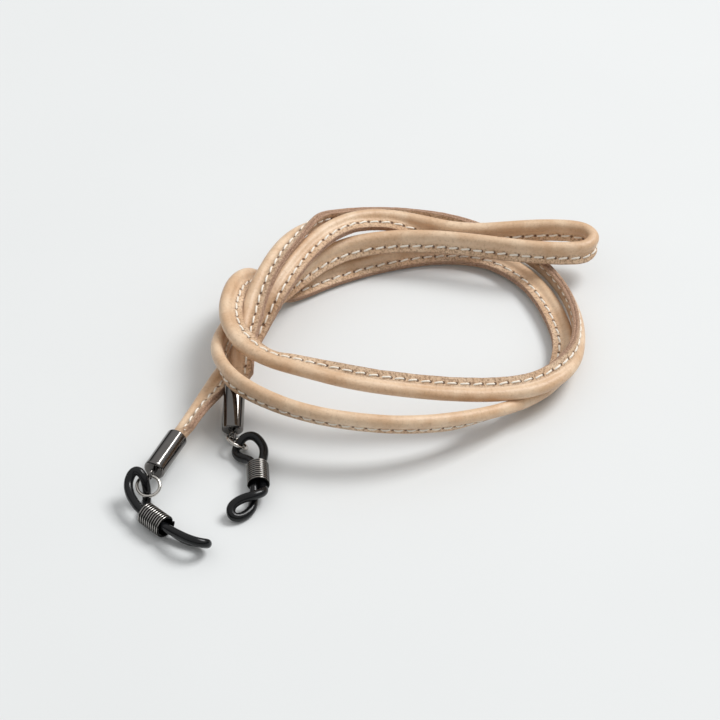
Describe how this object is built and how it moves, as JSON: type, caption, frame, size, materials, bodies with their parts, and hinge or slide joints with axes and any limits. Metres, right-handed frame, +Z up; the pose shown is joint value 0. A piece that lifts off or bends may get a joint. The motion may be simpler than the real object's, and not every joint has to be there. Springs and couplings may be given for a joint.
{
  "type": "eyeglass retainer strap",
  "caption": "Stitched leather cord, loosely coiled, with a metal end cap, jump ring and adjustable rubber temple loop at each end, to hang a pair of glasses round the neck",
  "frame": {"origin": "on the plane the strap lies on, below the middle of the box round the two end fittings", "axes": "+Z up, +X to the right, +Y from the temple loops towards the coiled strap"},
  "size_m": [0.1121, 0.1187, 0.0173],
  "materials": {
    "tan_leather": "smooth vegetable-tanned leather, semi-matt, with raw cut edges",
    "cotton_cord": "twisted cotton filler and waxed cotton stitching thread",
    "dark_nickel": "polished black nickel plate",
    "bright_nickel": "bright nickel plated wire",
    "black_rubber": "extruded rubber cord, satin"
  },
  "bodies": {
    "strap": {"strap_leather": "tan_leather", "filler_cord": "cotton_cord", "left_end_cap": "dark_nickel", "left_cap_eye": "dark_nickel", "right_end_cap": "dark_nickel", "right_cap_eye": "dark_nickel"},
    "left_ring": {"left_jump_ring": "bright_nickel"},
    "left_loop": {"left_rubber_loop": "black_rubber"},
    "left_coil": {"left_coil_slider": "bright_nickel"},
    "right_ring": {"right_jump_ring": "bright_nickel"},
    "right_loop": {"right_rubber_loop": "black_rubber"},
    "right_coil": {"right_coil_slider": "bright_nickel"}
  },
  "joints": [
    {"name": "left_ring_swing", "type": "hinge", "parent": "strap", "child": "left_ring", "pos_m": [-0.01036, -0.00411, 0.005], "axis": [-0.9923, 0.1002, 0.0727], "range_deg": [-75, 75]},
    {"name": "left_loop_swing", "type": "hinge", "parent": "left_ring", "child": "left_loop", "pos_m": [-0.01012, -0.00867, 0.00314], "axis": [0.9759, 0.2115, 0.0545], "range_deg": [-4, 45]},
    {"name": "left_coil_slide", "type": "slide", "parent": "left_loop", "child": "left_coil", "axis": [0.7239, -0.6899, 0], "range_m": [-0.001, 0.003], "deforming": ["left_rubber_loop"]},
    {"name": "right_ring_swing", "type": "hinge", "parent": "strap", "child": "right_ring", "pos_m": [0.00691, 0.01197, 0.00179], "axis": [-0.7091, -0.31, 0.6334], "range_deg": [-75, 25]},
    {"name": "right_loop_swing", "type": "hinge", "parent": "right_ring", "child": "right_loop", "pos_m": [0.00911, 0.00759, 0.00271], "axis": [0.7756, 0.1779, -0.6056], "range_deg": [-10, 60]},
    {"name": "right_coil_slide", "type": "slide", "parent": "right_loop", "child": "right_coil", "axis": [0.064, -0.998, 0], "range_m": [-0.001, 0.003], "deforming": ["right_rubber_loop"]}
  ]
}
